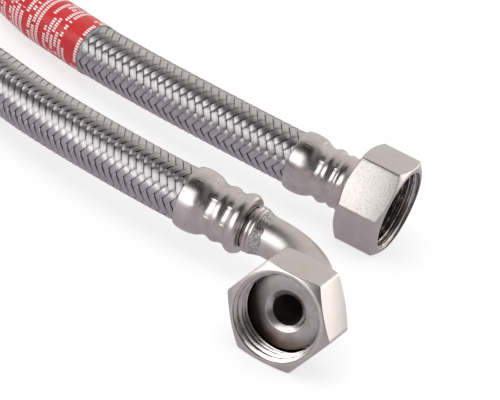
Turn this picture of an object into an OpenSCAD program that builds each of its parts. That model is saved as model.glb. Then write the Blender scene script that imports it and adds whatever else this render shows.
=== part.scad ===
// Braided water hose: a straight union nut on one end, a 90 degree elbow with a union nut on the other.
// Millimetres, +Z up. The hose lies on the plane z = 0, and the origin is on that plane, under the middle
// of the two end fittings. Both nut axes are level: the straight nut opens towards +X, the elbow nut
// towards -Y.

/* [Union nuts] */
// Across flats of the hexagon nuts
nut_af = 30; // [29:0.5:38]
// Height of a nut along its axis
nut_h = 16; // [15:0.5:20]
// Thickness of the wall at the back of a nut
nut_wall = 2.5; // [2:0.1:3]
// Minor radius of the female pipe thread
thread_r = 12.06; // [11:0.01:12.2]
// How far the thread run-out is cut outside the minor radius
relief_step = 1.1; // [0.6:0.1:1.4]
// Depth of the lead-in chamfer at a nut's mouth
mouth_chamfer = 1; // [0.5:0.1:1.5]
// Depth of the seal face below the mouth
seat_depth = 6.8; // [5.8:0.1:7]

/* [Necks and seals] */
// Outside radius of the necks that the nuts turn on
neck_r = 6.5; // [6.2:0.1:7.6]
// Radius of the water way through the fittings
bore_r = 5; // [3.5:0.1:5.6]
// Clearance between a neck and the hole in its nut
neck_gap = 0.1; // [0.05:0.01:0.1]
// Thickness of a sealing flange
flange_t = 2.2; // [1.6:0.1:2.4]
// Clearance between a sealing flange and the thread around it
flange_gap = 0.26; // [0.2:0.01:0.6]
// Depth of the chamfer where the water way leaves a flange
seat_chamfer = 1.25; // [0.5:0.05:1.4]
// Thickness of the rubber gasket in the straight nut
gasket_t = 2; // [1.5:0.1:2]
// Clearance between the gasket and the thread around it
gasket_gap = 0.16; // [0.1:0.01:0.4]
// Radius of the hole in the gasket
gasket_hole_r = 6.5; // [6:0.1:8]

/* [Hose] */
// Outside diameter over the braid
hose_od = 18; // [16.5:0.1:22]
// Thickness of the wire braid
braid_t = 0.6; // [0.4:0.1:0.9]
// Inside diameter of the rubber liner
liner_id = 13; // [12.8:0.1:13.6]

/* [Ferrules] */
// Length of a crimped ferrule
ferrule_len = 23; // [21:0.5:28]
// Length of the bulge that holds the hose at its full diameter
bulge_len = 10.8; // [10:0.1:11.4]
// Height of the bulge above the hose
bulge_rise = 1.3; // [0.9:0.05:1.6]
// Outside radius at the bottom of a crimp groove
groove_r = 8.6; // [8.5:0.05:8.8]
// Outside radius at the top of the ridge between the crimp grooves
ridge_r = 9.2; // [9:0.05:9.6]
// Radius to which the crimp squeezes the hose
crimp_r = 7.8; // [7.7:0.05:7.9]
// Largest radius of the flared mouth behind the straight nut
flare_r = 10.8; // [10:0.1:11.5]
// Outside radius of the rolled ring on the elbow ferrule
ring_r = 9.7; // [9:0.05:10.5]
// Gap between the straight nut and the flared mouth
flare_gap = 0.3; // [0.2:0.05:0.5]

/* [Elbow] */
// Radius of the bend, at the middle of the tube
bend_r = 24; // [18:0.5:25]
// Distance from the hose's axis to the mouth of the elbow nut
elbow_reach = 45; // [44:0.1:56]
// Distance from the elbow's corner to the collar on its insert
collar_from = 27.6; // [26:0.1:32]
// Length of the collar
collar_len = 2.6; // [2.2:0.1:3.5]
// Outside radius of the collar
collar_r = 7.7; // [7.6:0.05:8.4]
// Open gap between the collar and the ferrule
collar_gap = 1.2; // [0.8:0.1:2]

/* [Label] */
// Thickness of the printed band
band_t = 0.15; // [0.1:0.01:0.3]
// Thickness of the clear film over the band
film_t = 0.1; // [0.08:0.01:0.2]
// How far the film stands out past each end of the band
film_margin = 1.5; // [0.5:0.1:3]

/* [Hidden] */
$fn = 96;
tube_sides = 12;
hose_r = hose_od / 2;
liner_r = hose_r - braid_t;
axis_z = nut_af / 2;
corner_r = nut_af / 2 / cos(30);
chamfer_angle = 30;
chamfer_r = nut_af / 2 - 0.2;
relief_r = thread_r + relief_step;
thread_end = seat_depth - 0.1;
flange_r = thread_r - flange_gap;
ring_tube_r = 2.2;
ridge_tube_r = 1.8;

// Stations along a ferrule, measured from its hose end towards its nut end.
cone_len = 1.4;
bulge_end = bulge_len;
pinch_end = 18.8;
hose_cut = pinch_end - 0.2;
pinched_liner_r = crimp_r - braid_t + 0.05;
tail_short = 2;
barb_pitch = 2;
barb_drop = 0.3;
tail_r = liner_id / 2 + 0.1;
held_r = tail_r / cos(180 / tube_sides);
groove_1 = bulge_end + 1.2;
ridge_at = bulge_end + 3.4;
groove_2 = ridge_at + 2.6;
ring_at = ferrule_len - 2.2;
lip_r = hose_r + 0.5;
full_bore_r = hose_r + 0.05;

// Straight end: depths below the nut's mouth.
straight_flange = seat_depth + gasket_t;
straight_ferrule_mouth = nut_h + flare_gap;
straight_hose_edge = straight_ferrule_mouth + ferrule_len;

// Elbow end: distances from the elbow's corner along the hose's axis.
elbow_ferrule_mouth = collar_from + collar_len + collar_gap;
elbow_hose_edge = elbow_ferrule_mouth + ferrule_len;
elbow_seat = elbow_reach - seat_depth;
socket_depth = 1.4;
tube_seat = elbow_seat - flange_t + socket_depth;
braze_leg = 0.8;

// Places on the bench: the straight nut's mouth is at x = 0, y = 0, and all is shifted to the origin last.
leg_gap = 59.7;
elbow_lead = 5;
corner_at = [elbow_lead, -leg_gap];
back_x = min(-straight_hose_edge, corner_at.x - elbow_hose_edge);
front_x = max(0, corner_at.x + corner_r);
bench_centre = [(back_x + front_x) / 2, (corner_r + corner_at.y - elbow_reach) / 2];

// The hose's route from the straight ferrule to the elbow ferrule: x, y, and its height as a share of the
// way from lying on the ground to the level of the fittings.
route = [
    [-straight_hose_edge, 0, 1],
    [-69, 2, 0.91],
    [-95, 6, 0.71],
    [-117, 11, 0.51],
    [-135, 17, 0.33],
    [-150, 23, 0.19],
    [-182, 45, 0.08],
    [-205, 76, 0],
    [-237, 95, 0],
    [-276, 95, 0],
    [-309, 78, 0],
    [-330, 45, 0],
    [-332, 8, 0],
    [-316, -27, 0],
    [-285, -49, 0],
    [-248, -54, 0],
    [-212, -39, 0],
    [-175, -29, 0.08],
    [-137, -39, 0.40],
    [-108, -50, 0.68],
    [-78, -57, 0.92],
    [corner_at.x - elbow_hose_edge, corner_at.y, 1]
];
label_start = 3;
label_end = 6;

// ---- Sweeps ----

// A station is a point of a sweep and the direction that the sweep has there.
function unit(v) = v / norm(v);
function ring(s, r) = let (side = unit(cross(s[1], [0, 0, 1])), top = cross(side, s[1]))
    [for (k = [0:tube_sides - 1]) let (a = k * 360 / tube_sides) s[0] + r * (cos(a) * side + sin(a) * top)];
function rings(line, radii) = [for (i = [0:len(line) - 1]) ring(line[i], radii[i])];
function part_way(a, b, share) = [for (k = [0:len(a) - 1]) a[k] + share * (b[k] - a[k])];
function quad(a, b, c, d) = [[a, b, c], [a, c, d]];
function flat(list) = [for (part = list) each part];

// A tube whose wall lies between a list of outer rings and a list of inner rings.
module hollow_sweep(outer, inner) {
    n = tube_sides;
    last = (len(outer) - 1) * n;
    inside = len(outer) * n;
    walls = flat([for (i = [0:len(outer) - 2]) flat([for (k = [0:n - 1])
        let (a = i * n + k, b = i * n + (k + 1) % n)
        concat(quad(a, b, b + n, a + n), quad(a + inside, a + n + inside, b + n + inside, b + inside))])]);
    ends = flat([for (k = [0:n - 1])
        let (b = (k + 1) % n)
        concat(quad(k, k + inside, b + inside, b),
               quad(last + k, last + b, last + b + inside, last + k + inside))]);
    polyhedron(concat(flat(outer), flat(inner)), concat(walls, ends), convexity = 6);
}

// ---- Frames of the two ends: local +Z runs from the mouth or the corner towards the hose ----

module on_bench() {
    translate([-bench_centre.x, -bench_centre.y, 0]) children();
}

module at_straight() {
    on_bench() translate([0, 0, axis_z]) rotate([0, -90, 0]) children();
}

module at_elbow() {
    on_bench() translate([corner_at.x, corner_at.y, axis_z]) rotate([0, -90, 0]) children();
}

module at_elbow_nut() {
    on_bench() translate([corner_at.x, corner_at.y - elbow_reach, axis_z]) rotate([-90, 0, 0]) children();
}

// Turns a ferrule's own stations, counted from the hose end, round to the frame of its end.
module from_hose_edge(edge) {
    translate([0, 0, edge]) mirror([0, 0, 1]) children();
}

// ---- Shared shapes ----

module chamfered_hexagon() {
    rise = (corner_r + 1 - chamfer_r) * tan(chamfer_angle);
    intersection() {
        cylinder(r = corner_r, h = nut_h, $fn = 6);
        rotate_extrude() polygon([
            [0, 0], [chamfer_r, 0], [corner_r + 1, rise],
            [corner_r + 1, nut_h - rise], [chamfer_r, nut_h], [0, nut_h]
        ]);
    }
}

module union_nut() {
    difference() {
        chamfered_hexagon();
        translate([0, 0, -1]) cylinder(r = neck_r + neck_gap, h = nut_h + 2);
        translate([0, 0, thread_end]) cylinder(r = relief_r, h = nut_h - nut_wall - thread_end);
        translate([0, 0, -1]) cylinder(r = thread_r, h = thread_end + 2);
        rotate_extrude() polygon([
            [0, -1], [thread_r + mouth_chamfer + 1, -1], [thread_r, mouth_chamfer], [0, mouth_chamfer]
        ]);
    }
}

// A sealing flange whose front face is at z = 0 and whose water way opens with a chamfer.
module sealing_disc() {
    rotate_extrude() polygon([
        [bore_r + seat_chamfer, 0], [flange_r, 0], [flange_r, flange_t],
        [bore_r, flange_t], [bore_r, seat_chamfer]
    ]);
}

// The barbed tail that the liner is pushed over, from z = 0 at its tip.
module barbed_tail(len) {
    barbs = floor((len - 1) / barb_pitch);
    rotate_extrude() polygon(concat(
        [[bore_r, 0], [tail_r - barb_drop, 0]],
        [for (i = [0:barbs - 1]) each [
            [tail_r, (i + 0.8) * barb_pitch], [tail_r - barb_drop, (i + 0.9) * barb_pitch]
        ]],
        [[tail_r - barb_drop, len], [bore_r, len]]
    ));
}

// Inside of a ferrule, from z = 0 at its hose end.
module ferrule_bore() {
    rotate_extrude() polygon([
        [0, -1], [full_bore_r, -1], [full_bore_r, bulge_end - cone_len], [crimp_r, bulge_end],
        [crimp_r, pinch_end], [neck_r + neck_gap, pinch_end], [neck_r + neck_gap, ferrule_len + 1],
        [0, ferrule_len + 1]
    ]);
}

// Outline of the bulge and the two crimp grooves with the ridge between them.
module crimp_outline() {
    bulge_r = hose_r + bulge_rise;
    polygon([
        [0, 0], [lip_r, 0], [bulge_r - 0.1, 3], [bulge_r, 4.8], [bulge_r - 0.15, 7],
        [lip_r, bulge_end - 1.2], [groove_r, bulge_end], [groove_r, groove_1],
        [groove_r, groove_2 + 2], [0, groove_2 + 2]
    ]);
    translate([ridge_r - ridge_tube_r, ridge_at]) circle(r = ridge_tube_r, $fn = 48);
}

// ---- Hose ----

// Stations along the free hose, and then with the lengths that are clamped in the two ferrules.
centres = [for (p = route) [p.x, p.y, hose_r + p.z * (axis_z - hose_r)]];
free_line = [for (i = [0:len(route) - 1]) [
    centres[i],
    i == 0 ? [-1, 0, 0] : i == len(route) - 1 ? [1, 0, 0] : unit(centres[i + 1] - centres[i - 1])
]];
clamp_steps = [hose_cut, bulge_end, bulge_end - cone_len];
hose_line = concat(
    [for (e = clamp_steps) [[e - straight_hose_edge, 0, axis_z], [-1, 0, 0]]],
    free_line,
    [for (i = [2:-1:0]) [[corner_at.x - elbow_hose_edge + clamp_steps[i], corner_at.y, axis_z], [1, 0, 0]]]
);

// Radii along the hose: free, where it stands over a tail, and where a crimp squeezes it.
function hose_radii(free, held, squeezed) = concat(
    [squeezed, squeezed, held, held], [for (i = [1:len(route) - 2]) free], [held, held, squeezed, squeezed]
);
liner_rings = rings(hose_line, hose_radii(liner_r, liner_r, pinched_liner_r));

module hose_liner() {
    color("dimgray") on_bench()
        hollow_sweep(liner_rings, rings(hose_line, hose_radii(liner_id / 2, held_r, held_r)));
}

module wire_braid() {
    color("silver") on_bench()
        hollow_sweep(rings(hose_line, hose_radii(hose_r, hose_r, crimp_r)), liner_rings);
}

// Rings over the labelled length at radius r, carried on by a margin at each end.
function label_rings(r) = [for (i = [label_start:label_end]) ring(free_line[i], r)];
function margin_ring(i, next, r) = part_way(
    ring(free_line[i], r), ring(free_line[next], r), film_margin / norm(centres[next] - centres[i])
);
function film_rings(r) = concat(
    [margin_ring(label_start, label_start - 1, r)],
    label_rings(r),
    [margin_ring(label_end, label_end + 1, r)]
);

module label_band() {
    color("firebrick") on_bench() hollow_sweep(label_rings(hose_r + band_t), label_rings(hose_r));
}

module label_film() {
    color("whitesmoke") on_bench()
        hollow_sweep(film_rings(hose_r + band_t + film_t), film_rings(hose_r + band_t));
}

// ---- Straight end ----

module straight_insert() {
    tail_len = pinch_end - tail_short;
    neck_end = straight_hose_edge - pinch_end;
    color("gainsboro") at_straight() {
        translate([0, 0, straight_flange]) sealing_disc();
        translate([0, 0, straight_flange + flange_t - 0.1]) difference() {
            cylinder(r = neck_r, h = neck_end - straight_flange - flange_t + 0.1);
            translate([0, 0, -1]) cylinder(r = bore_r, h = nut_h * 2);
        }
        from_hose_edge(straight_hose_edge) translate([0, 0, tail_short]) barbed_tail(tail_len);
    }
}

module straight_ferrule() {
    color("silver") at_straight() from_hose_edge(straight_hose_edge) difference() {
        rotate_extrude() {
            crimp_outline();
            polygon([
                [0, groove_2], [groove_r, groove_2], [groove_r + 0.4, groove_2 + 1.2],
                [groove_r + 0.3, ferrule_len - 3.4], [flare_r, ferrule_len], [0, ferrule_len]
            ]);
        }
        ferrule_bore();
    }
}

module straight_gasket() {
    color("black") at_straight() translate([0, 0, seat_depth]) difference() {
        cylinder(r = thread_r - gasket_gap, h = gasket_t);
        translate([0, 0, -1]) cylinder(r = gasket_hole_r, h = gasket_t + 2);
    }
}

module straight_nut() {
    color("silver") at_straight() rotate([0, 0, 30]) union_nut();
}

// ---- Elbow end ----

module elbow_insert() {
    tail_from = elbow_hose_edge - pinch_end;
    tail_len = pinch_end - tail_short;
    color("gainsboro") at_elbow() {
        difference() {
            union() {
                translate([0, 0, collar_from]) rotate_extrude() polygon([
                    [0, 0], [collar_r - 0.1, 0], [collar_r - 0.1, collar_len / 2 - 0.1],
                    [collar_r - 0.3, collar_len / 2], [collar_r, collar_len / 2 + 0.1],
                    [collar_r, collar_len], [0, collar_len]
                ]);
                translate([0, 0, collar_from + 0.1]) cylinder(r = neck_r, h = tail_from - collar_from - 0.1);
            }
            translate([0, 0, collar_from - 1]) cylinder(r = bore_r, h = tail_from);
            translate([0, 0, collar_from - 1]) cylinder(r = neck_r, h = socket_depth + 1);
        }
        from_hose_edge(elbow_hose_edge) translate([0, 0, tail_short]) barbed_tail(tail_len);
    }
}

module elbow_ferrule() {
    color("silver") at_elbow() from_hose_edge(elbow_hose_edge) difference() {
        rotate_extrude() {
            crimp_outline();
            polygon([
                [0, groove_2], [groove_r, groove_2], [groove_r, ring_at],
                [neck_r + 0.8, ferrule_len], [0, ferrule_len]
            ]);
            translate([ring_r - ring_tube_r, ring_at]) circle(r = ring_tube_r, $fn = 64);
        }
        ferrule_bore();
    }
}

// The bent tube, drawn at radius r from end to end.
module elbow_run(r, extra) {
    at_elbow() translate([0, 0, bend_r]) cylinder(r = r, h = collar_from + socket_depth - bend_r + extra);
    on_bench() translate([corner_at.x - bend_r, corner_at.y - bend_r, axis_z])
        rotate_extrude(angle = 90) translate([bend_r, 0]) circle(r = r);
    on_bench() translate([corner_at.x, corner_at.y - bend_r, axis_z])
        rotate([90, 0, 0]) cylinder(r = r, h = tube_seat - bend_r + extra);
}

module elbow_tube() {
    color("gainsboro") difference() {
        elbow_run(neck_r, 0);
        elbow_run(bore_r, 1);
    }
}

module elbow_flange() {
    color("gainsboro") at_elbow_nut() translate([0, 0, seat_depth]) difference() {
        sealing_disc();
        translate([0, 0, flange_t - socket_depth]) cylinder(r = neck_r, h = socket_depth + 1);
    }
}

// One braze fillet: a cone ring from the face at z = 0 down to the tube.
module braze_ring() {
    rotate_extrude() polygon([[neck_r, 0], [neck_r + braze_leg * 0.7, 0], [neck_r, braze_leg]]);
}

module braze_joints() {
    color("darkkhaki") {
        at_elbow() translate([0, 0, collar_from]) mirror([0, 0, 1]) braze_ring();
        at_elbow_nut() translate([0, 0, seat_depth + flange_t]) braze_ring();
    }
}

module elbow_nut() {
    color("silver") at_elbow_nut() union_nut();
}

hose_liner();
wire_braid();
label_band();
label_film();
straight_insert();
straight_ferrule();
straight_gasket();
straight_nut();
elbow_insert();
elbow_ferrule();
elbow_tube();
elbow_flange();
braze_joints();
elbow_nut();
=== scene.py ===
import math

import bmesh
import bpy
import numpy as np
from bpy.props import FloatProperty, FloatVectorProperty, IntProperty, PointerProperty
from mathutils import Matrix, Vector


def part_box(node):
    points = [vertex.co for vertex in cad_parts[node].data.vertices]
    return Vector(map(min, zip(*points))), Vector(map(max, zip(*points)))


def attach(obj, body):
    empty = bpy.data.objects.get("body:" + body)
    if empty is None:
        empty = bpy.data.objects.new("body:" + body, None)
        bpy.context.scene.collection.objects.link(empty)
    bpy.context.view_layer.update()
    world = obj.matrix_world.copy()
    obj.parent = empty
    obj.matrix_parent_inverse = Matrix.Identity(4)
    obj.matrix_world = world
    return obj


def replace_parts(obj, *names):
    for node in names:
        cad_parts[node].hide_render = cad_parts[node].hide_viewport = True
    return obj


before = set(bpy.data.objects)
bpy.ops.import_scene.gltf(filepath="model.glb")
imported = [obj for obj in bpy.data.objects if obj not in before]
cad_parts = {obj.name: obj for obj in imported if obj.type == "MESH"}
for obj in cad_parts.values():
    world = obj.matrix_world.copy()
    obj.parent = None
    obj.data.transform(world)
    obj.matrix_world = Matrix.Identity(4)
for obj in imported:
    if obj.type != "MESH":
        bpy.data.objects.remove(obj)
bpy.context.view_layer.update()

bl_info = {
    "name": "Braided supply line",
    "version": (1, 0, 0),
    "blender": (4, 5, 0),
    "location": "View3D > Sidebar > Supply line",
    "description": "Builds the woven hose, its crimped end fittings and a plain studio round them",
    "category": "Add Mesh",
}

MM = 0.001


def middle(node):
    """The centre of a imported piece's box."""
    low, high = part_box(node)
    return (low + high) / 2


# Radii, in millimetres, of the fittings' necks and of the water's way through them, and the elbow's bend.
NECK = (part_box("elbow_tube")[1].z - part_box("elbow_tube")[0].z) / 2 / MM
BORE = 5.0
BEND = 24 * MM

# The two nuts and the elbow's corner give every place on the fittings. Each fitting has its own frame,
# whose local Z runs from the mouth, or from the corner, back towards the hose.
STRAIGHT_MOUTH = Vector((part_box("straight_nut")[1].x, middle("straight_nut").y, middle("straight_nut").z))
ELBOW_MOUTH = Vector((middle("elbow_nut").x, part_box("elbow_nut")[0].y, middle("elbow_nut").z))
CORNER = Vector((ELBOW_MOUTH.x, middle("elbow_ferrule").y, ELBOW_MOUTH.z))
AT_STRAIGHT = Matrix.Translation(STRAIGHT_MOUTH) @ Matrix.Rotation(math.radians(-90), 4, "Y")
AT_ELBOW = Matrix.Translation(CORNER) @ Matrix.Rotation(math.radians(-90), 4, "Y")
AT_ELBOW_NUT = Matrix.Translation(ELBOW_MOUTH) @ Matrix.Rotation(math.radians(-90), 4, "X")

# Hose edges: distances from the mouth, or from the corner, to where the hose leaves its ferrule.
STRAIGHT_EDGE = STRAIGHT_MOUTH.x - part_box("straight_ferrule")[0].x
ELBOW_EDGE = CORNER.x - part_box("elbow_ferrule")[0].x

# The route of the hose from the straight ferrule to the elbow ferrule.
ROUTE = [(x * MM, y * MM, z * MM) for x, y, z in (
    (-25.76, 43.69, 15.00), (-55.46, 45.69, 14.46), (-81.46, 49.69, 13.26), (-103.46, 54.69, 12.06),
    (-121.46, 60.69, 10.98), (-136.46, 66.69, 10.14), (-168.46, 88.69, 9.48), (-191.46, 119.69, 9.00),
    (-223.46, 138.69, 9.00), (-262.46, 138.69, 9.00), (-295.46, 121.69, 9.00), (-316.46, 88.69, 9.00),
    (-318.46, 51.69, 9.00), (-302.46, 16.69, 9.00), (-271.46, -5.31, 9.00), (-234.46, -10.31, 9.00),
    (-198.46, 4.69, 9.00), (-161.46, 14.69, 9.48), (-123.46, 4.69, 11.40), (-94.46, -6.31, 13.08),
    (-64.46, -13.31, 14.52), (-35.86, -16.01, 15.00),
)]

# The points of the route that the label runs between.
LABEL_FROM, LABEL_TO = 3, 6


# ---- Sizes and colours that a user may change ----

class SupplyLineHose(bpy.types.PropertyGroup):
    radius: FloatProperty(
        name="Hose radius", description="Outside radius over the braid", default=9 * MM, unit="LENGTH")
    bands: IntProperty(
        name="Bands each way", description="Wire bands that wind round the hose in each direction",
        default=12)
    lead: FloatProperty(
        name="Lead", description="Length in which a band goes once round, at the straight fitting",
        default=36.4 * MM, unit="LENGTH")
    lead_end: FloatProperty(
        name="Lead at elbow", description="Length in which a band goes once round, at the elbow",
        default=33.0 * MM, unit="LENGTH")
    band_share: FloatProperty(
        name="Band share", description="Width of a band over the distance from one band to the next",
        default=0.925)
    weave: FloatProperty(
        name="Weave depth", description="How far a band rises and falls through the weave",
        default=0.20 * MM, unit="LENGTH")
    start_turn: FloatProperty(
        name="Start", description="Turn of the weave about the hose",
        default=math.radians(2), subtype="ANGLE")
    twist: FloatProperty(
        name="Twist", description="How far the hose is twisted from end to end", default=math.radians(-6),
        subtype="ANGLE")
    wires: IntProperty(name="Wires", description="Wires that lie side by side in one band", default=7)


class SupplyLineNut(bpy.types.PropertyGroup):
    across_flats: FloatProperty(
        name="Across flats", description="Width of the hexagon", default=30 * MM, unit="LENGTH")
    height: FloatProperty(
        name="Height", description="Length of a nut along its axis", default=16 * MM, unit="LENGTH")
    chamfer: FloatProperty(
        name="Chamfer circle", description="Radius at which the corner chamfer meets the nut's end",
        default=14.6 * MM, unit="LENGTH")
    mouth: FloatProperty(
        name="Mouth", description="Radius of the opening at the nut's end",
        default=13.95 * MM, unit="LENGTH")
    minor: FloatProperty(
        name="Thread crest", description="Radius of the thread's crests", default=12.25 * MM, unit="LENGTH")
    major: FloatProperty(
        name="Thread root", description="Radius of the thread's roots", default=13.45 * MM, unit="LENGTH")
    pitch: FloatProperty(
        name="Pitch", description="Distance between two turns of the thread",
        default=1.814 * MM, unit="LENGTH")
    thread_depth: FloatProperty(
        name="Thread depth", description="Where the thread ends, below the mouth",
        default=6.7 * MM, unit="LENGTH")
    neck: FloatProperty(
        name="Neck hole", description="Radius of the hole for the neck", default=6.6 * MM, unit="LENGTH")
    wall: FloatProperty(
        name="Back wall", description="Thickness of the wall behind the thread",
        default=2.5 * MM, unit="LENGTH")


class SupplyLineFinish(bpy.types.PropertyGroup):
    steel: FloatVectorProperty(
        name="Steel", description="Colour of the satin steel fittings", subtype="COLOR", size=3,
        default=(0.60, 0.565, 0.55))
    wire: FloatVectorProperty(
        name="Braid wire", description="Colour of the woven wire", subtype="COLOR", size=3,
        default=(0.57, 0.555, 0.56))
    label: FloatVectorProperty(
        name="Label", description="Colour of the printed band", subtype="COLOR", size=3,
        default=(0.60, 0.020, 0.025))
    rubber: FloatVectorProperty(
        name="Rubber", description="Colour of the rubber", subtype="COLOR", size=3,
        default=(0.016, 0.016, 0.020))


# ---- Building skins ----

def grids(name, sheets):
    """A mesh of grids of points, all of one size. Each has its own map, across it and along it."""
    n_rows, n_points = sheets[0].shape[:2]
    shape = bmesh.new()
    for _ in sheets:
        bmesh.ops.create_grid(shape, x_segments=n_points - 1, y_segments=n_rows - 1, size=1)
    mesh = bpy.data.meshes.new(name)
    shape.to_mesh(mesh)
    shape.free()
    mesh.vertices.foreach_set("co", np.concatenate([sheet.reshape(-1) for sheet in sheets]))
    corners = np.empty(len(mesh.loops), np.int32)
    mesh.loops.foreach_get("vertex_index", corners)
    corners %= n_rows * n_points
    across, along = (corners % n_points) / (n_points - 1), (corners // n_points) / (n_rows - 1)
    layer = mesh.uv_layers.new(name="Surface")
    layer.data.foreach_set("uv", np.stack([across, along], 1).astype(np.float32).reshape(-1))
    return mesh


def skin(name, rings, node_body, finish, sharp=30):
    """A piece whose surface runs through rings of points. Each ring ends on the point it starts with."""
    mesh = grids(name, [rings])
    shape = bmesh.new()
    shape.from_mesh(mesh)
    bmesh.ops.remove_doubles(shape, verts=shape.verts, dist=2e-7)
    bmesh.ops.dissolve_degenerate(shape, edges=shape.edges, dist=1e-8)
    bmesh.ops.recalc_face_normals(shape, faces=shape.faces)
    shape.to_mesh(mesh)
    shape.free()
    mesh.shade_smooth()
    mesh.set_sharp_from_angle(angle=math.radians(sharp))
    return piece(name, mesh, node_body, finish)


def piece(name, mesh, node_body, finish):
    """The object for a mesh, with its finish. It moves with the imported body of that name."""
    made = bpy.data.objects.new(name, mesh)
    bpy.context.scene.collection.objects.link(made)
    mesh.materials.clear()
    mesh.materials.append(finish)
    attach(made, node_body)
    return made


def placed(rings, place):
    """Local rings moved by a frame's matrix."""
    matrix = np.array(place)
    return rings @ matrix[:3, :3].T + matrix[:3, 3]


def lathe(name, profile, place, node_body, finish, steps=128, ease=0.12, shape_on=None):
    """A turned piece: a (radius, z) outline in millimetres is spun round Z and its edges are eased."""
    shape = bmesh.new()
    points = [shape.verts.new((radius * MM, 0, z * MM)) for radius, z in profile]
    lines = [shape.edges.new(pair) for pair in zip(points, points[1:] + points[:1])]
    bmesh.ops.spin(shape, geom=points + lines, cent=(0, 0, 0), axis=(0, 0, 1), angle=2 * math.pi,
                   steps=steps, use_merge=True)
    bmesh.ops.remove_doubles(shape, verts=shape.verts, dist=1e-7)
    bmesh.ops.recalc_face_normals(shape, faces=shape.faces)
    if ease:
        sharp = [edge for edge in shape.edges if edge.calc_face_angle(0) > math.radians(28)]
        bmesh.ops.bevel(
            shape, geom=sharp, offset=ease * MM, segments=2, profile=0.5, affect="EDGES", material=-1)
    if shape_on:
        for vertex in shape.verts:
            shape_on(vertex)
    shape.transform(place)
    mesh = bpy.data.meshes.new(name)
    shape.to_mesh(mesh)
    shape.free()
    mesh.shade_smooth()
    mesh.set_sharp_from_angle(angle=math.radians(40))
    return piece(name, mesh, node_body, finish)


def eased(profile, eases):
    """Rounds the corners of a (points, columns, 2) profile. Each point has one length of ease."""
    out = [profile[0][None]]
    for k in range(1, len(profile) - 1):
        point, before, after = profile[k], profile[k - 1], profile[k + 1]
        if not eases[k]:
            out.append(point[None])
            continue
        ends = []
        for way in (before - point, after - point):
            size = np.linalg.norm(way, axis=-1)[..., None]
            ends.append(point + np.minimum(eases[k], 0.45 * size) * way / np.maximum(size, 1e-12))
        near, far = ends
        out.append(np.stack([near, 0.25 * near + 0.5 * point + 0.25 * far, far]))
    out.append(profile[-1][None])
    return np.concatenate(out)


def curved(t, span, start, end, slope_in, slope_out):
    """A place at share t of a smooth curve from start to end, with given slopes at its ends."""
    return ((2 * t**3 - 3 * t**2 + 1) * start + (t**3 - 2 * t**2 + t) * span * slope_in
            + (3 * t**2 - 2 * t**3) * end + (t**3 - t**2) * span * slope_out)


def smooth_line(points, spacing):
    """Points at even spacing on one smooth curve through the given points, level with X at both ends."""
    points = np.asarray(points, float)
    knots = np.concatenate([[0], np.cumsum(np.linalg.norm(np.diff(points, axis=0), axis=1))])
    slopes = np.empty_like(points)
    slopes[1:-1] = (points[2:] - points[:-2]) / (knots[2:] - knots[:-2])[:, None]
    slopes[0], slopes[-1] = (-1, 0, 0), (1, 0, 0)
    fine, shares = [], []
    for i in range(len(points) - 1):
        t = np.linspace(0, 1, 200, endpoint=i == len(points) - 2)[:, None]
        fine.append(curved(t, knots[i + 1] - knots[i], points[i], points[i + 1], slopes[i], slopes[i + 1]))
        shares.append(i + t[:, 0])
    fine, shares = np.concatenate(fine), np.concatenate(shares)
    run = np.concatenate([[0], np.cumsum(np.linalg.norm(np.diff(fine, axis=0), axis=1))])
    even = np.linspace(0, run[-1], int(round(run[-1] / spacing)) + 1)
    line = np.stack([np.interp(even, run, fine[:, k]) for k in range(3)], 1)
    return even, line, np.interp(np.arange(len(points)), shares, run)


class HoseCurve:
    """The hose's centreline, and the way from a place on its surface to a point in space."""

    def __init__(self):
        self.run, self.line, self.at_point = smooth_line(ROUTE, 0.5 * MM)
        heading = np.gradient(self.line, axis=0)
        heading[0], heading[-1] = (-1, 0, 0), (1, 0, 0)
        heading /= np.linalg.norm(heading, axis=1)[:, None]
        side = np.cross(heading, (0, 0, 1))
        side /= np.linalg.norm(side, axis=1)[:, None]
        self.heading, self.side, self.top = heading, side, np.cross(side, heading)
        self.length = self.run[-1]

    def point(self, s, angle, radius):
        """The point at distance s along the hose, at an angle round it and a radius from its centreline."""
        inside = np.clip(s, 0, self.length)
        line, side, top, heading = [
            np.stack([np.interp(inside, self.run, values[:, k]) for k in range(3)], -1)
            for values in (self.line, self.side, self.top, self.heading)]
        return (line + (s - inside)[..., None] * heading + (radius * np.cos(angle))[..., None] * side
                + (radius * np.sin(angle))[..., None] * top)


HOSE = HoseCurve()


# ---- Finishes ----

def nodes_of(name, **values):
    """A new material, with its node tree and its shader, which has the given values."""
    finish = bpy.data.materials.new(name)
    finish.use_nodes = True
    tree = finish.node_tree
    tree.nodes.clear()
    shader = tree.nodes.new("ShaderNodeBsdfPrincipled")
    for key, value in values.items():
        shader.inputs[key].default_value = value
    output = tree.nodes.new("ShaderNodeOutputMaterial")
    tree.links.new(shader.outputs["BSDF"], output.inputs["Surface"])
    return finish, tree, shader


def add(tree, kind, links=(), **values):
    """A node of that kind, with its settings and sockets set, linked from (socket name, output) pairs."""
    node = tree.nodes.new(kind)
    for key, value in values.items():
        if key in node.inputs:
            node.inputs[key].default_value = value
        else:
            setattr(node, key, value)
    for key, source in links:
        tree.links.new(source, node.inputs[key])
    return node


def calc(tree, operation, first, second=None):
    """The result of one sum. Each value is a number or a socket."""
    node = add(tree, "ShaderNodeMath", operation=operation)
    for k, value in enumerate((first, second)):
        if isinstance(value, (int, float)):
            node.inputs[k].default_value = value
        elif value is not None:
            tree.links.new(value, node.inputs[k])
    return node.outputs[0]


def surface_map(tree):
    """The piece's own surface map."""
    return add(tree, "ShaderNodeUVMap", uv_map="Surface").outputs["UV"]


def split(tree, vector):
    """The outputs X, Y and Z of a vector."""
    return add(tree, "ShaderNodeSeparateXYZ", [("Vector", vector)]).outputs


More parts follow.
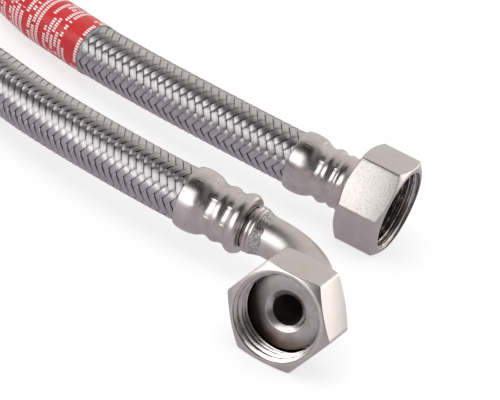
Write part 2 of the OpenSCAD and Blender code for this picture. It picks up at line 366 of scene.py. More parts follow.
def dot(tree, vector, direction):
    """How far a vector reaches in a direction."""
    node = add(tree, "ShaderNodeVectorMath", [(0, vector)], operation="DOT_PRODUCT")
    node.inputs[1].default_value = direction
    return node.outputs["Value"]


def blend(tree, factor, first, second, kind="MIX"):
    """The first colour at factor 0 and the second at 1. Each is a plain tuple or a socket."""
    node = add(tree, "ShaderNodeMix", [(0, factor)], data_type="RGBA", blend_type=kind)
    for slot, value in ((6, first), (7, second)):
        if isinstance(value, tuple):
            node.inputs[slot].default_value = (*value, 1)
        else:
            tree.links.new(value, node.inputs[slot])
    return node.outputs[2]


def grain(tree, fine, detail=3.0, scale=(1, 1, 1), output="Object"):
    """Soft noise over a piece, from 0 to 1."""
    where = add(tree, "ShaderNodeTexCoord").outputs[output]
    place = add(tree, "ShaderNodeMapping", [("Vector", where)], Scale=scale).outputs["Vector"]
    return add(tree, "ShaderNodeTexNoise", [("Vector", place)], Scale=fine, Detail=detail).outputs["Fac"]


def spread(tree, value, low, high, start=0.3, end=0.7):
    """From low to high, evenly, as the value goes from start to end."""
    return add(tree, "ShaderNodeMapRange", [("Value", value)], **{
        "From Min": start, "From Max": end, "To Min": low, "To Max": high}).outputs["Result"]


def tinted(tree, value, dark, light, start=0.3, end=0.7):
    """From a dark colour to a light one as the value goes from start to end."""
    ramp = add(tree, "ShaderNodeValToRGB", [("Fac", value)])
    ramp.color_ramp.elements[0].position, ramp.color_ramp.elements[1].position = start, end
    ramp.color_ramp.elements[0].color, ramp.color_ramp.elements[1].color = (*dark, 1), (*light, 1)
    return ramp.outputs["Color"]


def bumped(tree, shader, height, depth, strength=1.0):
    """Relief of that depth."""
    bump = add(tree, "ShaderNodeBump", [("Height", height)], Strength=strength, Distance=depth)
    tree.links.new(bump.outputs["Normal"], shader.inputs["Normal"])


def shade(colour, share):
    """A share of a colour."""
    return tuple(share * c for c in colour)


def steel(name, colour, rough, cloud=0.86, pits=0.004, pit_size=2400, dark=0.2):
    """Satin steel: clouds of colour a few millimetres wide, an uneven gloss and fine pits."""
    finish, tree, shader = nodes_of(name, Metallic=1.0)
    clouds = grain(tree, 240, 5)
    fine = grain(tree, pit_size, 3)
    warm = (colour[0] * cloud, colour[1] * cloud * 0.985, colour[2] * cloud * 0.965)
    clear = tinted(tree, clouds, warm, colour, 0.36, 0.62)
    pitted = blend(tree, spread(tree, fine, 0.0, dark, 0.55, 0.72), clear, shade(colour, 0.35))
    tree.links.new(pitted, shader.inputs["Base Color"])
    tree.links.new(spread(tree, clouds, rough - 0.04, rough + 0.05), shader.inputs["Roughness"])
    bumped(tree, shader, fine, pits * MM)
    return finish


def wire_steel(name, colour, wires):
    """Bands of drawn wires, with painted shade darkening each band's edges: the lines follow each band's own
    surface map.
    """
    finish, tree, shader = nodes_of(name, Metallic=1.0, Roughness=0.38, Anisotropic=0.9)
    where = surface_map(tree)
    across = split(tree, where)["X"]
    rounds = calc(tree, "ABSOLUTE", calc(tree, "SINE", calc(tree, "MULTIPLY", across, wires * math.pi)))
    bumped(tree, shader, rounds, 0.05 * MM, 0.8)
    streaks = add(tree, "ShaderNodeMapping", [("Vector", where)], Scale=(wires * 1.3, 60, 1))
    drawn = add(tree, "ShaderNodeTexNoise", [("Vector", streaks.outputs["Vector"])], Scale=1.0, Detail=2.0)
    streaked = tinted(tree, drawn.outputs["Fac"], shade(colour, 0.78), shade(colour, 1.08))
    # Painted shade: the colour falls almost to black towards each band's edges, where the weave's shadow
    # lies.
    outward = calc(tree, "ABSOLUTE", calc(tree, "SUBTRACT", across, 0.5))
    band_edge_shade = spread(tree, outward, 0.0, 1.0, 0.44, 0.475)
    tree.links.new(blend(tree, band_edge_shade, streaked, shade(colour, 0.03)), shader.inputs["Base Color"])
    tangent = add(tree, "ShaderNodeTangent", direction_type="UV_MAP", uv_map="Surface")
    tree.links.new(tangent.outputs["Tangent"], shader.inputs["Tangent"])
    return finish


def black_rubber(name, colour, rough=0.55):
    """Rubber with fine pores."""
    finish, tree, shader = nodes_of(name, Roughness=rough)
    pores = grain(tree, 1500, 3)
    tree.links.new(tinted(tree, pores, shade(colour, 0.7), shade(colour, 1.5)), shader.inputs["Base Color"])
    bumped(tree, shader, pores, 0.02 * MM)
    return finish


def printed_label(name, colour, length, girth):
    """A red sleeve with rows of small plain white marks, in words and blocks, that run round the hose."""
    row_pitch, mark_pitch, word, block = 1.95, 0.92, 5.0, 19.0
    finish, tree, shader = nodes_of(name, Roughness=0.32, **{
        "Specular IOR Level": 0.18, "Coat Weight": 0.22, "Coat Roughness": 0.12})
    size = (girth / MM, length / MM, 1)
    sized = add(tree, "ShaderNodeMapping", [("Vector", surface_map(tree))], Scale=size)
    place = split(tree, sized.outputs["Vector"])
    row = calc(tree, "DIVIDE", place["Y"], row_pitch)
    row_number = calc(tree, "FLOOR", row)

    def chance(x, seed):
        """An even random number for each place x of each row."""
        spot = add(tree, "ShaderNodeCombineXYZ", [("X", x), ("Y", row_number)], Z=seed).outputs["Vector"]
        noise = add(tree, "ShaderNodeTexWhiteNoise", [("Vector", spot)], noise_dimensions="3D")
        return noise.outputs["Value"]

    def within(value, low, high):
        """1 where the fraction of a value lies between low and high, and 0 elsewhere."""
        part = calc(tree, "FRACT", value)
        above, below = calc(tree, "GREATER_THAN", part, low), calc(tree, "LESS_THAN", part, high)
        return calc(tree, "MULTIPLY", above, below)

    shift = calc(tree, "MULTIPLY", chance(row_number, 3.0), girth / MM)
    along_row = calc(tree, "ADD", place["X"], shift)
    marks = calc(tree, "DIVIDE", along_row, mark_pitch)
    printed = calc(tree, "MULTIPLY", within(row, 0.20, 0.84), within(marks, 0.16, 0.80))
    blocks = calc(tree, "DIVIDE", along_row, block)
    for number, seed, left_out in (
            (marks, 1.0, 0.12), (calc(tree, "DIVIDE", marks, word), 2.0, 0.16), (blocks, 4.0, 0.22)):
        kept = calc(tree, "GREATER_THAN", chance(calc(tree, "FLOOR", number), seed), left_out)
        printed = calc(tree, "MULTIPLY", printed, kept)
    ground = tinted(tree, grain(tree, 1.6, 3, size, "UV"), shade(colour, 0.86), shade(colour, 1.1))
    tree.links.new(blend(tree, printed, ground, (0.86, 0.84, 0.84)), shader.inputs["Base Color"])
    return finish


def clear_film(name, margin):
    """Clear film: hardly seen over the print, with a faint green edge in the margin past it."""
    finish, tree, shader = nodes_of(name, Roughness=0.10, **{"Base Color": (0.50, 0.72, 0.72, 1)})
    along = split(tree, surface_map(tree))["Y"]
    outward = calc(tree, "ABSOLUTE", calc(tree, "SUBTRACT", along, 0.5))
    edge = calc(tree, "MULTIPLY", spread(tree, outward, 0.0, 1.0, 0.495 - margin, 0.505 - margin),
                spread(tree, outward, 1.0, 0.0, 0.500, 0.505))
    tree.links.new(spread(tree, edge, 0.012, 0.20, 0.0, 1.0), shader.inputs["Alpha"])
    bumped(tree, shader, grain(tree, 700, 2), 0.02 * MM)
    return finish


# ---- The hose ----

def weave_height(number, crossing, over):
    """How far a band stands out, from -1 to 1, by the crossing bands it has met: two over, two under."""
    from_middle = np.abs((number + crossing + (1.5 if over else 3.5)) % 4 - 2)
    flat, end = 0.40 if over else 0.76, 1.36
    fall = np.clip((from_middle - flat) / (end - flat), 0, 1)
    return 1 - 2 * fall * fall * (3 - 2 * fall)


def wound(sizes, s):
    """The angle that a band has wound round the hose at distance s, as its lead falls along the hose."""
    change = 1 / sizes.lead_end - 1 / sizes.lead
    return 2 * math.pi * (s / sizes.lead + change * s * s / (2 * HOSE.length))


def band_rings(sizes, number, way, start, end):
    """Rows of points along one band of wires, each row from edge to edge of the band."""
    pitch = 2 * math.pi / sizes.bands
    rows = np.arange(start, end, sizes.lead / (2 * sizes.bands) / 5)[:, None]
    slant = np.arctan(sizes.radius * np.gradient(wound(sizes, rows[:, 0]), rows[:, 0]))[:, None]
    half = sizes.band_share / 2 * sizes.radius * pitch * np.cos(slant)
    across = np.array([-1, -0.62, 0, 0.62, 1]) * half
    crown = np.array([-0.11, -0.02, 0, -0.02, -0.11]) * MM
    s = rows - way * across * np.sin(slant)
    angle = pitch * number + way * wound(sizes, rows) + across * np.cos(slant) / sizes.radius
    height = weave_height(number, (angle + way * wound(sizes, s)) / pitch, way > 0) * sizes.weave
    angle = angle + sizes.start_turn + sizes.twist * s / HOSE.length
    return HOSE.point(s, angle, sizes.radius - 1.2 * sizes.weave + height + crown)


class SUPPLYLINE_OT_hose(bpy.types.Operator):
    """Makes the dark hose wall and the bands of wire that are woven over it"""
    bl_idname = "supply_line.hose"
    bl_label = "Hose and braid"

    def execute(self, context):
        sizes, finish = context.scene.supply_line_hose, context.scene.supply_line_finish
        rubber = black_rubber("liner rubber", finish.rubber)
        wire = wire_steel("braid wire", finish.wire, sizes.wires)
        start, end = -3.5 * MM, HOSE.length + 3.5 * MM
        angles = np.linspace(0, 2 * math.pi, 33)
        run = np.concatenate([[start, start], np.linspace(start, end, 420), [end, end]])
        wall = np.full(len(run), sizes.radius - 0.65 * MM)
        wall[[0, -1]] = 0.0
        rings = HOSE.point(run[:, None], angles, wall[:, None])
        core = skin("hose_wall", rings, "line", rubber)
        braid = []
        for way, word in ((1, "right"), (-1, "left")):
            bands = [band_rings(sizes, n, way, start, end) for n in range(sizes.bands)]
            half = sizes.bands // 2
            for k, some in enumerate((bands[:half], bands[half:]), 1):
                braid.append(self.joined(f"braid_{word}_{k}", some, wire))
        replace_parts(core, "hose_liner")
        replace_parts(braid[0], "wire_braid")
        return {"FINISHED"}

    def joined(self, name, bands, wire):
        """One piece of several bands that all wind the same way."""
        mesh = grids(name, bands)
        mesh.shade_smooth()
        return piece(name, mesh, "line", wire)


class SUPPLYLINE_OT_label(bpy.types.Operator):
    """Makes the printed sleeve and the clear cover over it"""
    bl_idname = "supply_line.label"
    bl_label = "Label"

    def execute(self, context):
        sizes, finish = context.scene.supply_line_hose, context.scene.supply_line_finish
        start, end = HOSE.at_point[LABEL_FROM] + 3.6 * MM, HOSE.at_point[LABEL_TO]
        margin = 1.5 * MM
        red = printed_label("label print", finish.label, end - start, 2 * math.pi * sizes.radius)
        clear = clear_film("label clear film", margin / (end - start + 2 * margin))
        radius = sizes.radius
        sleeve = self.sleeve("label_sleeve", start, end, radius, 0.15 * MM, red, "label_print", 0.01 * MM)
        cover = self.sleeve("label_cover", start - margin, end + margin, radius + 0.16 * MM, 0.09 * MM,
                            clear, "label_clear", 0.0)
        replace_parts(sleeve, "label_band")
        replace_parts(cover, "label_film")
        return {"FINISHED"}

    def sleeve(self, name, start, end, radius, thick, finish, slot, ripple):
        """A thin tube round the hose, with a ripple. Its map covers the outside from end to end."""
        angles = np.linspace(0, 2 * math.pi, 97)
        run = np.linspace(start, end, int((end - start) / (1.2 * MM)))[:, None]
        waves = ripple * np.sin(12 * angles) * np.sin(run * 2 * math.pi / (5.5 * MM))
        outside = HOSE.point(run, angles, radius + thick + waves)
        inside = HOSE.point(run[::-1], angles, radius + 0 * waves)
        rings = np.concatenate([outside, inside, outside[:1]])
        made = skin(name, rings, "line", finish, sharp=40)
        layer = made.data.uv_layers["Surface"].data
        uv = np.empty(len(layer) * 2, np.float32)
        layer.foreach_get("uv", uv)
        uv[1::2] *= (len(rings) - 1) / (len(run) - 1)
        layer.foreach_set("uv", uv)
        return made


# ---- The nuts ----

def hexagon_columns():
    """Angles round a nut, closer together at its corners, and how far each is from the nearest corner."""
    from_flat = np.array([0, 4, 8, 12, 16, 19, 22, 24.5, 26.5, 28, 28.9, 29.5])
    half = np.concatenate([from_flat, [30], 60 - from_flat[:0:-1]])
    angles = np.concatenate([half + 60 * k for k in range(6)] + [[360]])
    from_corner = np.abs((angles % 60) - 30)
    return np.radians(angles), np.radians(from_corner)


def hexagon_radius(from_corner, half_flats, fillet):
    """Distance from the axis to a hexagon whose upright corners are rounded."""
    plain = half_flats / np.cos(math.radians(30) - from_corner)
    centre = (half_flats - fillet) / math.cos(math.radians(30))
    last = math.atan2(fillet / 2, centre + fillet * math.cos(math.radians(30)))
    reach = np.sqrt(np.maximum(fillet**2 - (centre * np.sin(from_corner)) ** 2, 0))
    return np.where(from_corner < last, centre * np.cos(from_corner) + reach, plain)


def nut_rings(nut, turn=0.0):
    """Rings of a whole nut, round from the thread's end to the mouth, over the outside and back in."""
    angles, from_corner = hexagon_columns()
    hexagon = hexagon_radius(from_corner, nut.across_flats / 2, 1.3 * MM)
    one = np.ones_like(angles)
    slope = math.tan(math.radians(30))
    edge = np.maximum((hexagon - nut.chamfer) * slope, 0.02 * MM)

    # The thread, from the groove behind it out to the mouth, where it widens to the mouth's own radius.
    depths = np.linspace(nut.thread_depth, 0.0, 74)[:, None]
    phase = (depths / nut.pitch + angles / (2 * math.pi)) % 1
    tooth = np.clip((np.abs(phase - 0.5) * 2 - 0.16) / 0.70, 0, 1)
    tooth = tooth * tooth * (3 - 2 * tooth) * 0.35 + tooth * 0.65
    thread = nut.major + (nut.minor - nut.major) * tooth
    lead_in = np.maximum(nut.mouth - nut.minor - 0.15 * MM - depths * 0.55, 0)
    thread = np.minimum(thread + 0.75 * lead_in, nut.mouth)
    threaded = np.stack([thread, depths * one], 2)

    def at(radius, depth):
        """One ring of (radius, depth) places."""
        return np.stack([radius * one, depth * one], 1)

    groove = nut.major + 0.05 * MM
    back = nut.height
    outline = np.stack([
        threaded[-1], at(nut.mouth, 0.0), at(nut.chamfer, 0.0), at(hexagon, edge), at(hexagon, back - edge),
        at(nut.chamfer, back), at(nut.neck + 0.5 * MM, back),
        at(nut.neck, back - 0.5 * MM), at(nut.neck, back - nut.wall),
        at(groove, back - nut.wall), at(groove, nut.thread_depth + 0.05 * MM), threaded[0]])
    eases = [0, 0.10, 0.28, 0.22, 0.22, 0.28, 0.12, 0.12, 0.1, 0.25, 0.05, 0]
    rounded = eased(outline, [e * MM for e in eases])
    radius, depth = np.moveaxis(np.concatenate([threaded, rounded[1:]]), 2, 0)
    return np.stack([radius * np.cos(angles + turn), radius * np.sin(angles + turn), depth], 2)


class SUPPLYLINE_OT_nuts(bpy.types.Operator):
    """Makes the two union nuts with their chamfers and threads"""
    bl_idname = "supply_line.nuts"
    bl_label = "Union nuts"

    def execute(self, context):
        nut, finish = context.scene.supply_line_nut, context.scene.supply_line_finish
        satin = steel("nut satin steel", finish.steel, 0.36, 0.93, 0.006)
        thread = steel("nut thread steel", shade(finish.steel, 0.95), 0.20)
        rough = steel("nut blasted steel", finish.steel, 0.38, 0.94, 0.05, 2600, 0.75)
        level = placed(nut_rings(nut), AT_STRAIGHT)
        straight = skin("nut_straight", level, "straight_nut", satin, 24)
        turned = placed(nut_rings(nut, math.radians(30)), AT_ELBOW_NUT)
        elbow = skin("nut_elbow", turned, "elbow_nut", satin, 24)
        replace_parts(straight, "straight_nut")
        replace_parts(elbow, "elbow_nut")
        for made, place in ((straight, AT_STRAIGHT), (elbow, AT_ELBOW_NUT)):
            self.finish_inside(made, place, nut, thread)
        self.finish_flat(straight, Vector((0, -math.cos(math.radians(30)), 0.5)), rough)
        return {"FINISHED"}

    def finish_inside(self, made, place, nut, thread):
        """The bright cut surfaces: everything inside the mouth."""
        made.data.materials.append(thread)
        local = place.inverted()
        for face in made.data.polygons:
            point = local @ face.center
            if point.xy.length < nut.major + 0.3 * MM and point.z < nut.height - 0.1 * MM:
                face.material_index = 1

    def finish_flat(self, made, outward, rough):
        """The one flat that kept its blasted skin."""
        made.data.materials.append(rough)
        for face in made.data.polygons:
            if face.normal.dot(outward) > 0.985 and face.material_index == 0:
                face.material_index = 2


# ---- Crimped ferrules ----

JAWS = 8
CRIMP_RADIUS = 8.6

# Outlines from the hose's edge on: each point is (distance along, radius), in millimetres.
ROUNDED_EDGE = [(1.2, 9.08), (1.28, 9.50), (1.5, 9.80), (2.1, 10.05)]
STRAIGHT_PROFILE = ROUNDED_EDGE + [
    (3.1, 10.24), (4.8, 10.32), (6.4, 10.22), (7.9, 9.90), (9.3, 9.26), (10.4, 8.78), (11.3, 8.62),
    (12.2, 8.70), (13.2, 9.18), (14.1, 9.40), (15.0, 9.18), (15.9, 8.72), (16.7, 8.62), (17.4, 8.84),
    (18.2, 9.20), (19.0, 8.98), (20.0, 8.98), (21.2, 9.50), (22.3, 10.3), (23.0, 10.8)]
ELBOW_PROFILE = ROUNDED_EDGE + [
    (3.3, 10.26), (5.2, 10.32), (7.0, 10.12), (8.6, 9.62), (9.9, 9.02), (10.9, 8.68), (11.9, 8.60),
    (12.9, 8.80), (13.8, 9.12), (14.5, 9.20), (15.3, 9.04), (16.2, 8.70), (17.2, 8.56), (18.1, 8.72),
    (18.9, 9.24), (19.8, 9.72), (20.7, 9.88), (21.6, 9.72), (22.4, 9.20), (22.9, 8.40), (23.0, 7.50)]


def curve_through(profile, spacing):
    """Even steps along a smooth (place, radius) curve through the given points."""
    places, radii = np.asarray(profile, float).T
    slopes = np.gradient(radii, places)
    steps = np.concatenate([np.arange(places[0], places[-1], spacing), [places[-1]]])
    at = np.clip(np.searchsorted(places, steps, side="right") - 1, 0, len(places) - 2)
    span = places[at + 1] - places[at]
    t = (steps - places[at]) / span
    return steps, curved(t, span, radii[at], radii[at + 1], slopes[at], slopes[at + 1])


def bump_at(value, centre, width):
    """A soft bump, 1 high, at a centre."""
    return math.exp(-((value - centre) / width) ** 2)


class SUPPLYLINE_OT_ferrules(bpy.types.Operator):
    """Makes the two crimped ferrules, with the marks that the crimping jaws left"""
    bl_idname = "supply_line.ferrules"
    bl_label = "Crimped ferrules"

    def execute(self, context):
        finish = context.scene.supply_line_finish
        pressed = steel("ferrule pressed steel", finish.steel, 0.27, 0.84, 0.010, 1500)
        straight = self.ferrule(
            "ferrule_straight", STRAIGHT_PROFILE, AT_STRAIGHT, STRAIGHT_EDGE, (11.4, 16.5), pressed)
        elbow = self.ferrule("ferrule_elbow", ELBOW_PROFILE, AT_ELBOW, ELBOW_EDGE, (11.8, 17.2), pressed)
        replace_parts(straight, "straight_ferrule")
        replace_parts(elbow, "elbow_ferrule")
        return {"FINISHED"}

    def ferrule(self, name, profile, place, edge, grooves, pressed):
        """A sleeve with the jaws' marks round its grooves, and two small score marks on its bulge."""
        steps, radii = curve_through(profile, 0.22)
        inside = np.clip(radii[::-3] - 0.7, NECK + 0.1, 9.03)
        outline = ([(r, edge / MM - e) for e, r in zip(steps, radii)]
                   + [(min(r, radii[0] - 0.06), edge / MM - e) for e, r in zip(steps[::-3], inside)])

        def pressed_by_jaws(vertex):
            """Moves a point of the outside in or out by the marks that cross it."""
            radius, along = vertex.co.xy.length / MM, (edge - vertex.co.z) / MM
            if radius < np.interp(along, steps, radii) - 0.3:
                return
            angle = math.atan2(vertex.co.y, vertex.co.x)
            jaw = (angle * JAWS / (2 * math.pi)) % 1
            from_gap = min(jaw, 1 - jaw) * (2 * math.pi / JAWS) * CRIMP_RADIUS
            lift = sum(bump_at(along, at, 1.25) for at in grooves)
            change = lift * (0.13 * bump_at(from_gap, 0, 0.42) - 0.06 * math.sin(math.pi * jaw) ** 2)
            change -= 0.16 * bump_at(along, 9.2, 1.0) * math.cos(2 * math.pi * jaw)
            for score in (-38.2, -31.8):
                around = (math.degrees(angle) - score + 180) % 360 - 180
                change += 0.09 * bump_at(around, 0, 0.9) * bump_at(along, 5.2, 1.0)
            vertex.co.xy *= 1 + change / radius

        return lathe(name, outline, place, "line", pressed, 240, 0, pressed_by_jaws)


# ---- Inserts, elbow and seals ----

FLANGE, FLANGE_BACK, CHAMFER = 11.8, 2.2, 6.5


def flange_outline(z, back):
    """The sealing flange's face, with the chamfer that opens its bore, and what stands behind it."""
    return [(4.75, z + 1.15), (CHAMFER, z), (FLANGE, z), (FLANGE, z + FLANGE_BACK), *back]


def barbed_tail(end):
    """The end of an insert, which steps down from its neck before it enters the hose."""
    return [(NECK, end - 16.6), (6.4, end - 16.4), (6.4, end), (BORE, end)]


class SUPPLYLINE_OT_elbow(bpy.types.Operator):
    """Makes the bent tube, its flange, the collar of its insert and the braze between them"""
    bl_idname = "supply_line.elbow"
    bl_label = "Elbow"

    def execute(self, context):
        finish = context.scene.supply_line_finish
        drawn = steel("elbow drawn steel", finish.steel, 0.37, 0.88, 0.006)
        machined = steel("turned steel", shade(finish.steel, 0.97), 0.28, 0.86, 0.008)
        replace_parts(self.tube(drawn), "elbow_tube")

        z = (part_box("elbow_flange")[0].y - ELBOW_MOUTH.y) / MM
        outline = flange_outline(z, [(4.75, z + FLANGE_BACK)])
        # The flange's face carries painted shade on its left and a painted brown reflection low down.
        painted_light_flange = self.painted_light_flange(finish)
        flange = lathe(
            "elbow_flange_face", outline, AT_ELBOW_NUT, "line", painted_light_flange, ease=0.08)
        flange.data.materials.append(machined)
        for face in flange.data.polygons:
            if (face.center.xz - CORNER.xz).length < (CHAMFER + 0.05) * MM:
                face.material_index = 1
        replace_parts(flange, "elbow_flange")

        low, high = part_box("elbow_insert")
        start, end = (CORNER.x - high.x) / MM, (CORNER.x - low.x) / MM
        collar = [(BORE, 0), (7.3, 0), (7.6, 0.3), (7.6, 0.95), (7.25, 1.15), (7.25, 1.35), (7.7, 1.6),
                  (7.7, 2.3), (7.45, 2.6), (NECK, 2.6)]
        outline = [(radius, start + along) for radius, along in collar] + barbed_tail(end)
        insert = lathe("insert_elbow", outline, AT_ELBOW, "line", machined)
        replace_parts(insert, "elbow_insert")
        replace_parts(self.braze(start), "braze_joints")
        return {"FINISHED"}

    def tube(self, drawn):
        """Two skins, each a circle drawn straight, round the bend and straight again, joined at the ends."""
        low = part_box("elbow_tube")[0]
        reach = CORNER.y - low.y - 0.7 * MM
        shape = bmesh.new()

        def draw_out(edges, way):
            """Draws a ring of edges straight on, and gives the points and edges that it ends on."""
            geometry = bmesh.ops.extrude_edge_only(shape, edges=edges)["geom"]
            points = [item for item in geometry if isinstance(item, bmesh.types.BMVert)]
            bmesh.ops.translate(shape, verts=points, vec=way)
            lines = [item for item in geometry if isinstance(item, bmesh.types.BMEdge)]
            return points, [line for line in lines if all(point in points for point in line.verts)]

        ends = []
        for radius, inset in ((NECK * MM, 0), (BORE * MM, 0.3 * MM)):
            start = Matrix.Translation((low.x + inset, CORNER.y, CORNER.z))
            start @= Matrix.Rotation(math.radians(90), 4, "Y")
            ring = bmesh.ops.create_circle(shape, cap_ends=False, radius=radius, segments=72, matrix=start)
            first = list({edge for vertex in ring["verts"] for edge in vertex.link_edges})
            points, lines = draw_out(first, (CORNER.x - BEND - low.x - inset, 0, 0))
            turned = bmesh.ops.spin(
                shape, geom=points + lines, cent=(CORNER.x - BEND, CORNER.y - BEND, CORNER.z),
                axis=(0, 0, 1), angle=math.radians(-90), steps=36)["geom_last"]
            lines = [item for item in turned if isinstance(item, bmesh.types.BMEdge)]
            ends.append((first, draw_out(lines, (0, BEND - reach + inset, 0))[1]))
        for outer, inner in zip(*ends):
            bmesh.ops.bridge_loops(shape, edges=outer + inner)
        bmesh.ops.recalc_face_normals(shape, faces=shape.faces)
        mesh = bpy.data.meshes.new("elbow_pipe")
        shape.to_mesh(mesh)
        shape.free()
        mesh.shade_smooth()
        mesh.set_sharp_from_angle(angle=math.radians(40))
        return piece("elbow_pipe", mesh, "line", drawn)

    def painted_light_flange(self, finish):
        """Turned steel with a painted brown reflection low down and painted shade on its left, inside the
        nut.
        """
        made = steel("stained steel", shade(finish.steel, 0.80), 0.36, 0.78, 0.012, 1800)
        tree = made.node_tree
        shader = next(node for node in tree.nodes if node.type == "BSDF_PRINCIPLED")
        colour = shader.inputs["Base Color"].links[0].from_socket
        where = add(tree, "ShaderNodeTexCoord").outputs["Object"]
        # Painted shade: the face darkens towards its left, inside the nut's wall.
        toward_painted_shade = Vector((-0.85, 0, -0.53))
        left = spread(tree, dot(tree, where, toward_painted_shade), 0.0, 1.0,
                      toward_painted_shade.dot(ELBOW_MOUTH) + 3.5 * MM, toward_painted_shade.dot(ELBOW_MOUTH) + 9 * MM)
        # Painted reflection: a brown tint that grows towards the bottom of the face.
        low = spread(tree, dot(tree, where, Vector((0, 0, 1))), 0.0, 1.0, 9 * MM, 4 * MM)
        colour = blend(tree, low, colour, (0.80, 0.64, 0.50), "MULTIPLY")
        colour = blend(tree, left, colour, (0.14, 0.11, 0.10), "MULTIPLY")
        tree.links.new(colour, shader.inputs["Base Color"])
        return made

    def braze(self, start):
        """A lumpy bead of braze where the tube enters the collar."""
        finish, tree, shader = nodes_of("braze", Metallic=1.0, Roughness=0.36)
        grains = grain(tree, 1300, 4)
        flecked = tinted(tree, grains, (0.34, 0.33, 0.31), (0.62, 0.60, 0.58), 0.38, 0.62)
        tree.links.new(flecked, shader.inputs["Base Color"])
        bumped(tree, shader, grains, 0.10 * MM)

        def lumpy(vertex):
            """Makes the bead uneven, and more so away from the collar."""
            angle, radius = math.atan2(vertex.co.y, vertex.co.x), vertex.co.xy.length / MM
            share = min(1, max(0, (start - vertex.co.z / MM) / 1.2))
            lump = (0.06 * math.sin(9 * angle + 1) + 0.05 * math.sin(17 * angle)
                    + 0.04 * math.sin(31 * angle + 2))
            if radius > NECK + 0.02:
                vertex.co.xy *= 1 + share * (1 - 0.5 * share) * lump / radius
            vertex.co.z += share * (0.35 * math.sin(5 * angle + 0.5) + 0.22 * math.sin(13 * angle)) * MM

        outline = [(NECK - 0.1, start + 0.3), (7.35, start + 0.1), (7.28, start - 0.35), (7.08, start - 0.9),
                   (6.86, start - 1.5), (6.68, start - 2.2), (6.56, start - 2.9), (NECK - 0.1, start - 3.2)]
        return lathe("braze_bead", outline, AT_ELBOW, "line", finish, 144, 0, lumpy)


class SUPPLYLINE_OT_straight(bpy.types.Operator):
    """Makes the straight insert with its flange, and the rubber gasket in front of it"""
    bl_idname = "supply_line.straight"
    bl_label = "Straight insert and gasket"

    def execute(self, context):
        finish = context.scene.supply_line_finish
        machined = steel("insert steel", shade(finish.steel, 0.97), 0.28, 0.86, 0.008)
        low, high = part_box("straight_insert")
        z, end = (STRAIGHT_MOUTH.x - high.x) / MM, (STRAIGHT_MOUTH.x - low.x) / MM
        outline = flange_outline(z, [(NECK, z + FLANGE_BACK), *barbed_tail(end)])
        insert = lathe("insert_straight", outline, AT_STRAIGHT, "line", machined, ease=0.08)
        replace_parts(insert, "straight_insert")
        z = (STRAIGHT_MOUTH.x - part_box("straight_gasket")[1].x) / MM
        rubber = black_rubber("gasket rubber", finish.rubber, 0.5)
        washer = [(6.5, z), (11.9, z), (11.9, z + 2.0), (6.5, z + 2.0)]
        gasket = lathe("gasket_ring", washer, AT_STRAIGHT, "gasket", rubber, ease=0.2)
        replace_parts(gasket, "straight_gasket")
        return {"FINISHED"}


# ---- Studio ----

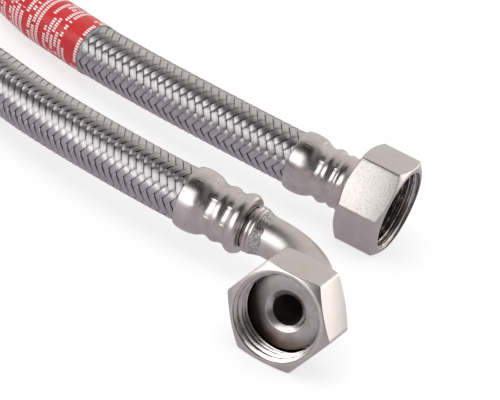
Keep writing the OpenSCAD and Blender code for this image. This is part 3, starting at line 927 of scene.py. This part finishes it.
class SUPPLYLINE_OT_stage(bpy.types.Operator):
    """Makes the camera, the floor, the lamps and the pale surroundings"""
    bl_idname = "supply_line.stage"
    bl_label = "Studio"

    def execute(self, context):
        lens = bpy.data.cameras.new("camera")
        lens.lens, lens.sensor_width = 216, 36
        lens.clip_start, lens.clip_end = 0.05, 20
        camera = bpy.data.objects.new("camera", lens)
        camera.location = (0.23912, -0.80137, 0.40330)
        camera.rotation_euler = [math.radians(a) for a in (63.98010, -17.54484, 26.32971)]
        context.scene.collection.objects.link(camera)
        context.scene.camera = camera
        context.scene.view_settings.view_transform = "Standard"

        shape = bmesh.new()
        bmesh.ops.create_grid(shape, x_segments=1, y_segments=1, size=6)
        mesh = bpy.data.meshes.new("floor")
        shape.to_mesh(mesh)
        shape.free()
        floor = bpy.data.objects.new("floor", mesh)
        context.scene.collection.objects.link(floor)
        floor.location.z = -0.0002
        mesh.materials.append(self.floor_finish())
        self.surroundings(context.scene)
        lamp = bpy.data.lights.new("fill lamp", "AREA")
        lamp.shape, lamp.size, lamp.energy = "DISK", 1.4, 11.0
        above = bpy.data.objects.new("fill lamp", lamp)
        above.location = (-0.25, -0.35, 1.5)
        above.rotation_euler = Vector(above.location).to_track_quat("Z", "Y").to_euler()
        above.visible_glossy = False
        context.scene.collection.objects.link(above)
        return {"FINISHED"}

    def seen(self, tree):
        """1 for what the camera sees by itself or through clear film, and 1 for what a gloss mirrors."""
        path = add(tree, "ShaderNodeLightPath")
        straight = calc(tree, "ADD", path.outputs["Is Camera Ray"], path.outputs["Is Transmission Ray"])
        return calc(tree, "MINIMUM", straight, 1.0), path.outputs["Is Glossy Ray"]

    def floor_finish(self):
        """Nearly white, but it keeps the shadow. In a gloss it glows with a painted reflection: grey, and
        bright low at the left.
        """
        finish, tree, shader = nodes_of("pale floor")
        tree.nodes.remove(shader)
        straight, glossy = self.seen(tree)
        # Painted reflection: what a gloss sees of the floor is its own glow, grey, and near the horizon
        # bright on the left and dark on the right, whatever the lamps do.
        slope = split(tree, add(tree, "ShaderNodeNewGeometry").outputs["Incoming"])
        left = tinted(tree, slope["X"], (0.16, 0.15, 0.16), (1.5, 1.48, 1.5), 0.0, 0.22)
        far = blend(tree, spread(tree, slope["Y"], 0.0, 1.0, 0.25, 0.60), (0.70, 0.68, 0.70), left)
        level = spread(tree, slope["Z"], 1.0, 0.0, 0.05, 0.20)
        painted_reflection = blend(tree, level, (0.54, 0.49, 0.545), far)
        colour = blend(tree, glossy, (1.14, 1.14, 1.14), painted_reflection)
        share = calc(tree, "ADD", calc(tree, "MULTIPLY", straight, 0.62),
                     calc(tree, "MULTIPLY", glossy, 0.75))
        matt = add(tree, "ShaderNodeBsdfDiffuse", Color=(0.90, 0.89, 0.90, 1))
        pale = add(tree, "ShaderNodeEmission", [("Color", colour)], Strength=1.0)
        mix = add(tree, "ShaderNodeMixShader", [("Fac", share), (1, matt.outputs[0]), (2, pale.outputs[0])])
        output = next(node for node in tree.nodes if node.type == "OUTPUT_MATERIAL")
        tree.links.new(mix.outputs[0], output.inputs["Surface"])
        return finish

    def surroundings(self, scene):
        """White to look at. As a light: a dim ceiling, a bright backdrop, and soft boxes left and right."""
        world = bpy.data.worlds.new("studio")
        world.use_nodes = True
        tree = world.node_tree
        tree.nodes.clear()
        toward = add(tree, "ShaderNodeTexCoord").outputs["Generated"]

        def facing(direction, outer, inner, low, high):
            """Low to high as the way nears a direction, from the outer to the inner angle, in degrees."""
            value = dot(tree, toward, Vector(direction).normalized())
            return add(tree, "ShaderNodeMapRange", [("Value", value)], interpolation_type="SMOOTHSTEP", **{
                "From Min": math.cos(math.radians(outer)), "From Max": math.cos(math.radians(inner)),
                "To Min": low, "To Max": high}).outputs["Result"]

        backdrop = facing((0, 1, 0.15), 108, 50, 0.14, 0.90)
        dark_ceiling = facing((-0.20, -0.46, 0.87), 41, 20, 1.0, 0.05)
        dark_camera = facing((0.30, -0.86, 0.42), 24, 12, 1.0, 0.0)
        boxes = calc(tree, "MAXIMUM", facing((-0.34, -0.85, 0.40), 29, 17, 0.0, 2.3),
                     facing((-0.30, -0.95, 0.02), 30, 16, 0.0, 3.0))
        boxes = calc(tree, "MAXIMUM", boxes, facing((-0.66, -0.68, 0.30), 26, 14, 0.0, 2.6))
        strength = calc(tree, "ADD", calc(tree, "MULTIPLY", backdrop, dark_ceiling),
                        facing((0.56, 0.82, 0.06), 34, 14, 0.0, 1.6))
        strength = calc(tree, "ADD", strength, calc(tree, "MULTIPLY", boxes, dark_camera))
        tint = blend(tree, facing((0, 1, 0.1), 100, 60, 0.0, 1.0), (1.0, 0.995, 1.0), (1.0, 0.955, 0.935))
        light = add(tree, "ShaderNodeBackground", [("Color", tint), ("Strength", strength)])
        white = add(tree, "ShaderNodeBackground", Color=(1, 1, 1, 1), Strength=1.0)
        straight, _ = self.seen(tree)
        mix = add(tree, "ShaderNodeMixShader", [
            ("Fac", straight), (1, light.outputs[0]), (2, white.outputs[0])])
        add(tree, "ShaderNodeOutputWorld", [("Surface", mix.outputs[0])])
        scene.world = world


class SUPPLYLINE_PT_panel(bpy.types.Panel):
    """Every size and colour, and a button for each step"""
    bl_idname = "SUPPLYLINE_PT_panel"
    bl_label = "Supply line"
    bl_space_type = "VIEW_3D"
    bl_region_type = "UI"
    bl_category = "Supply line"

    def draw(self, context):
        for group in GROUPS:
            box = self.layout.box()
            settings = getattr(context.scene, group)
            for key in settings.__annotations__:
                box.prop(settings, key)
        for operator in OPERATORS:
            self.layout.operator(operator.bl_idname)


OPERATORS = (
    SUPPLYLINE_OT_stage, SUPPLYLINE_OT_label, SUPPLYLINE_OT_hose, SUPPLYLINE_OT_ferrules,
    SUPPLYLINE_OT_straight, SUPPLYLINE_OT_elbow, SUPPLYLINE_OT_nuts,
)
GROUPS = {"supply_line_hose": SupplyLineHose, "supply_line_nut": SupplyLineNut,
          "supply_line_finish": SupplyLineFinish}
CLASSES = (*GROUPS.values(), *OPERATORS, SUPPLYLINE_PT_panel)


def register():
    for item in CLASSES:
        bpy.utils.register_class(item)
    for name, group in GROUPS.items():
        setattr(bpy.types.Scene, name, PointerProperty(type=group))


def unregister():
    for name in GROUPS:
        delattr(bpy.types.Scene, name)
    for item in reversed(CLASSES):
        bpy.utils.unregister_class(item)


def main():
    register()
    bpy.ops.supply_line.stage()
    bpy.ops.supply_line.label()
    bpy.ops.supply_line.hose()
    bpy.ops.supply_line.ferrules()
    bpy.ops.supply_line.straight()
    bpy.ops.supply_line.elbow()
    bpy.ops.supply_line.nuts()


if __name__ == "__main__":
    main()
